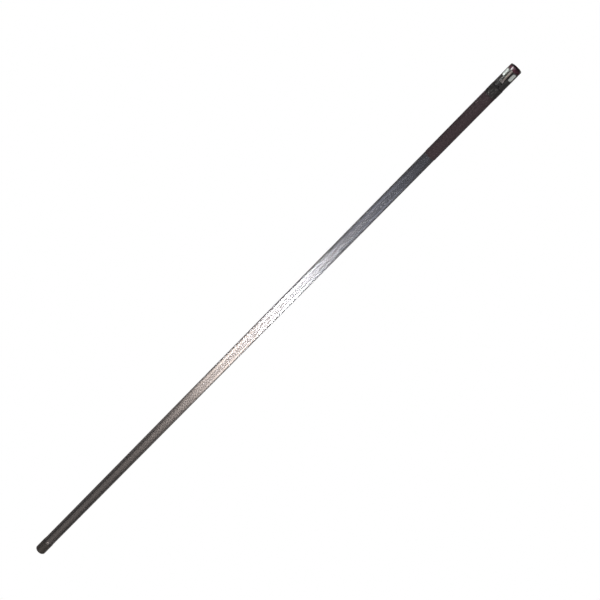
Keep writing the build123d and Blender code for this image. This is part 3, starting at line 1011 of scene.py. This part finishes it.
@dataclass
class Fasteners(Part):
    """All the screws and rivets that can be seen."""

    screw_angle: float = math.radians(0.5)
    screw_stations: tuple[float, float] = (46.0 * MM, 54.0 * MM)
    butt_station: float = 1936.0 * MM

    def build(self) -> None:
        """Makes the head's screws and the butt's rivets."""
        heights = (14.5 * MM, 10.4 * MM)
        socket = {"socket": 0.85 * MM, "socket_depth": 0.6 * MM}
        screw = Fastener(self.axis, 1.85 * MM, 0.75 * MM, 1.45 * MM, *heights, **socket)
        rivet = Fastener(self.axis, 1.58 * MM, 0.6 * MM, 1.5 * MM, 15.45 * MM, 11.6 * MM)
        sides = (self.screw_angle, self.screw_angle + math.pi)
        screws = [(station, side) for station in self.screw_stations for side in sides]
        rivets = [(self.butt_station, side) for side in (0.25 * TURN, 0.75 * TURN)]
        self.set_in("socket_head_screws", screw, screws, Body.INNER, "head_screws")
        self.set_in("butt_cap_rivets", rivet, rivets, Body.OUTER, "butt_rivets")

    def set_in(
        self, name: str, fastener: Fastener, places: list[tuple[float, float]], body: Body, node: str
    ) -> None:
        """Makes one piece of a fastener repeated at its places.

        Args:
            name: the piece's name.
            fastener: the screw or rivet.
            places: the station and angle of each.
            body: the body that they move with.
            node: the CAD node that they replace.
        """
        draft = Draft()
        for station, angle in places:
            fastener.add_to(draft, station, angle)
        self.dress(draft.build(name, 30.0, weld=True), body, Slot.DARK_STEEL, node)


@dataclass
class SoftenedPart:
    """A part copied from the frame, so that its edges can be given small radii."""

    node: str
    name: str
    body: Body
    slot: Slot
    edge: float
    angle: float = 35.0

    def build(self, materials: dict[Slot, Material]) -> Object:
        """Copies the node, merges its loose triangles, and rounds every edge that turns sharply."""
        mesh = frame["nodes"][self.node].data.copy()
        mesh.name = self.name
        merge_points(mesh, 1e-6)
        work = bmesh.new()
        work.from_mesh(mesh)
        bmesh.ops.dissolve_limit(work, angle_limit=math.radians(0.5), verts=work.verts, edges=work.edges)
        work.to_mesh(mesh)
        work.free()
        piece = add_piece(self.name, mesh, self.angle)
        bevel = piece.modifiers.new("mould_radius", "BEVEL")
        bevel.width = self.edge
        bevel.segments = 2
        bevel.limit_method = "ANGLE"
        bevel.angle_limit = math.radians(self.angle)
        bevel.use_clamp_overlap = True
        bevel.harden_normals = True
        return finish_piece(piece, self.body, self.slot, materials[self.slot], self.node)


@dataclass
class ReturnSpring(Part):
    """The slider's return spring: round wire in a helix whose end turns lie flat."""

    mean: float = 12.65 * MM
    wire: float = 0.24 * MM
    turns: float = 4.0
    end_pitch: float = 2.1  # of the closed end turns, in wire radii
    keep: float = 0.42
    steps: int = 340
    wire_columns: int = 10

    def build(self) -> Object:
        """Carries a circle of wire along the helix."""
        front, back = self.axis.span("slider_spring")
        front, back = front + self.wire, back - self.wire
        steps = self.steps
        share = np.linspace(0, 1, steps)
        angle = share * self.turns * TURN
        flat = 1 / self.turns
        rise = smoothstep(flat * 0.8, 1 - flat * 0.8, share)
        flat_rise = self.end_pitch * self.wire * np.clip(np.minimum(share, 1 - share) / flat, 0, 1)
        station = front + flat_rise * (share < 0.5) + rise * (back - front) - flat_rise * (share >= 0.5)
        path = self.axis.place(station, np.full(steps, self.mean), angle)
        ahead = np.gradient(path, axis=0)
        ahead /= np.linalg.norm(ahead, axis=1, keepdims=True)
        centre = np.stack([path[:, 0], np.zeros(steps), np.full(steps, self.axis.height)], axis=-1)
        out = path - centre
        out /= np.linalg.norm(out, axis=1, keepdims=True)
        side = np.cross(ahead, out)
        spin = around(self.wire_columns)[None, :, None]
        grid = path[:, None] + self.wire * (np.cos(spin) * out[:, None] + np.sin(spin) * side[:, None])
        draft = Draft().add(grid, loop=False, capped=True)
        piece = draft.build("slider_return_spring", 50.0)
        self.dress(piece, Body.INNER, Slot.SPRING_STEEL, "slider_spring")
        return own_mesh(piece)


@dataclass
class KeptNodes:
    """CAD nodes whose shape is right as it is: each only gets the finish of its slot."""

    materials: dict[Slot, Material]

    def build(self) -> None:
        """Puts each slot's finish on the nodes that nothing has replaced."""
        slots = {entry["node"]: Slot(entry["material_slot"]) for entry in frame["record"]["subparts"]}
        for name, node in frame["nodes"].items():
            if node.hide_render:
                continue
            for holder in node.material_slots:
                holder.material = self.materials[slots[name]]
            LOG.info("node %s: finish %s", name, slots[name].value)


# ---- Studio ----


@dataclass(frozen=True)
class Lamp:
    """A rectangular studio light: its middle, the point it faces, its sides in metres and its power in watts.

    Its first side stays along the pole. The spread is the full angle of its beam, in degrees.
    """

    name: str
    place: tuple[float, float, float]
    aim: tuple[float, float, float]
    size: tuple[float, float]
    power: float
    tint: str = "#ffffff"
    spread: float = 180.0


@dataclass(frozen=True)
class Hoop:
    """A ring of equal lamps round the pole: where they shine, their width along it, power and colour."""

    name: str
    station: float
    width: float
    power: float
    colour: str
    spread: float = 180.0


@dataclass
class Studio:
    """A white floor, soft lights and the camera."""

    axis: PoleAxis
    camera_place: tuple[float, float, float] = (1.5046, 0.2266, 2.7017)
    camera_turn: tuple[float, float, float] = (-22.653, 13.976, -49.181)
    lens: float = 72.0
    hoop_radius: float = 2.0
    hoop_length: float = 1.7
    hoop_angles: tuple[float, ...] = (-72.0, -33.0, 6.0, 45.0, 84.0)
    hoops: tuple[Hoop, ...] = (
        Hoop("warm", 1.03, 0.30, 8.8, "#ffeedf"),
        Hoop("cool", 0.78, 0.16, 2.7, "#f4f7ff"),
        Hoop("shoulder", 0.48, 0.24, 1.3, "#e6ecff"),
        Hoop("core", 0.80, 0.04, 0.60, "#ffffff", 24.0),
        Hoop("head", 0.05, 0.04, 0.35, "#ffffff"),
    )
    fills: tuple[Lamp, ...] = (
        Lamp("head_fill", (1.9, -0.5, 3.4), (0.5, 0.0, 0.0), (2.6, 3.2), 8.0, "#eef4ff"),
        Lamp("tail_fill", (-3.1, 0.0, 2.9), (-0.8, 0.0, 0.0), (2.6, 3.0), 15.0, "#fff0e2"),
        Lamp("front_fill", (2.6, 0.3, 0.7), (0.97, 0.0, 0.0), (1.0, 1.2), 6.0),
        Lamp("side_key", (0.705, 1.21, 0.86), (0.985, 0.0, 0.015), (0.16, 0.16), 0.045, spread=9.0),
    )
    floor_radius: float = 14.0
    floor_grey: float = 0.3
    world_light: float = 0.06

    def build_camera(self) -> None:
        """Adds the camera."""
        data = bpy.data.cameras.new("camera")
        data.lens = self.lens
        data.sensor_width = 36.0
        data.clip_start = 0.05
        data.clip_end = 100.0
        camera = bpy.data.objects.new("camera", data)
        camera.location = self.camera_place
        camera.rotation_euler = [math.radians(a) for a in self.camera_turn]
        bpy.context.scene.collection.objects.link(camera)
        bpy.context.scene.camera = camera

    def add_light(self, lamp: Lamp) -> None:
        """Adds a rectangular area light whose first side stays along the pole."""
        data = bpy.data.lights.new(lamp.name, "AREA")
        data.shape = "RECTANGLE"
        data.size, data.size_y = lamp.size
        data.energy = lamp.power
        data.color = linear(lamp.tint)[:3]
        data.spread = math.radians(lamp.spread)
        light = bpy.data.objects.new(lamp.name, data)
        place, aim = Vector(lamp.place), Vector(lamp.aim)
        back = (place - aim).normalized()
        along = (Vector((1, 0, 0)) - back * back.x).normalized()
        across = back.cross(along)
        turn = Matrix((along, across, back)).transposed().to_4x4()
        light.matrix_world = Matrix.Translation(place) @ turn
        light.visible_camera = False
        bpy.context.scene.collection.objects.link(light)

    def hung(self, hoop: Hoop) -> list[Lamp]:
        """Works out a hoop's lamps, so that the camera sees them mirrored in the pole at its station."""
        spot = Vector((self.axis.tip - hoop.station, 0, self.axis.height))
        to_camera = Vector(self.camera_place) - spot
        slope = to_camera.x / math.hypot(to_camera.y, to_camera.z)
        lamps = []
        for number, degrees in enumerate(self.hoop_angles):
            turn = math.radians(degrees)
            radial = Vector((0, -math.sin(turn), math.cos(turn)))
            place = spot + radial * self.hoop_radius - Vector((slope * self.hoop_radius, 0, 0))
            size = (hoop.width, self.hoop_length)
            name = f"{hoop.name}_{number}"
            lamps.append(Lamp(name, tuple(place), tuple(spot), size, hoop.power, hoop.colour, hoop.spread))
        return lamps

    def build_lights(self) -> None:
        """Hangs the hoops and the fills."""
        for hoop in self.hoops:
            for lamp in self.hung(hoop):
                self.add_light(lamp)
        for lamp in self.fills:
            self.add_light(lamp)

    def build_floor(self) -> None:
        """Lays the floor: white where it is looked at, and dim in the pole's reflections."""
        rings = np.array([0.0, 2.0, 6.0, self.floor_radius])[:, None]
        turn = around(64)[None, :]
        grid = np.stack([rings * np.cos(turn), rings * np.sin(turn), np.zeros((4, 64))], axis=-1)
        draft = Draft().add(grid, loop=False)
        floor = draft.build("studio_floor", weld=True)
        material = bpy.data.materials.new("matt_white_card")
        material.use_nodes = True
        tree = material.node_tree
        tree.nodes.clear()
        seen = add_node(tree, "Emission", {"Color": grey(1.0), "Strength": 1.0})
        dim = add_node(tree, "BsdfDiffuse", {"Color": grey(self.floor_grey)})
        path = add_node(tree, "LightPath")
        both = {0: path.outputs["Is Camera Ray"], 1: dim, 2: seen}
        mixed = add_node(tree, "MixShader", both)
        add_node(tree, "OutputMaterial", {"Surface": mixed})
        floor.data.materials.append(material)

    def build_world(self) -> None:
        """Sets a white backdrop that lights the pole only a little."""
        world = bpy.data.worlds.new("studio")
        bpy.context.scene.world = world
        world.use_nodes = True
        tree = world.node_tree
        tree.nodes.clear()
        shown = add_node(tree, "Background", {"Color": grey(1.0), "Strength": 1.0})
        lit = add_node(tree, "Background", {"Color": grey(1.0), "Strength": self.world_light})
        path = add_node(tree, "LightPath")
        both = {0: path.outputs["Is Camera Ray"], 1: lit, 2: shown}
        mixed = add_node(tree, "MixShader", both)
        add_node(tree, "OutputWorld", {"Surface": mixed})

    def build(self) -> None:
        """Makes the whole studio."""
        bpy.context.scene.view_settings.view_transform = "Standard"
        self.build_camera()
        self.build_world()
        self.build_floor()
        self.build_lights()


SOFTENED = (
    SoftenedPart("head_body", "cage_head_moulding", Body.INNER, Slot.NYLON, 0.22 * MM),
    SoftenedPart("nose_piece", "slotted_nose_moulding", Body.INNER, Slot.WINE, 0.12 * MM),
    SoftenedPart("release_slider", "wine_slider_moulding", Body.SLIDER, Slot.WINE, 0.22 * MM),
    SoftenedPart("slider_arms", "steel_slider_arms", Body.SLIDER, Slot.SATIN_STEEL, 0.12 * MM),
    SoftenedPart("thumb_pads", "ribbed_thumb_pads", Body.SLIDER, Slot.PAD, 0.1 * MM),
)


def main() -> None:
    """Builds the pole's pieces in order, then the studio."""
    logging.basicConfig(level=logging.INFO, format="%(message)s")
    axis = PoleAxis.from_frame()
    materials = {slot: finish.build() for slot, finish in FINISHES.items()}
    OuterTube(axis, materials, BAND_FINISH.build()).build()
    GripSleeve(axis, materials).build()
    ButtCap(axis, materials).build()
    TwistCollar(axis, materials).build()
    InnerTube(axis, materials).build()
    Fasteners(axis, materials).build()
    for part in SOFTENED:
        part.build(materials)
    ReturnSpring(axis, materials).build()
    KeptNodes(materials).build()
    Studio(axis).build()


if __name__ == "__main__":
    main()
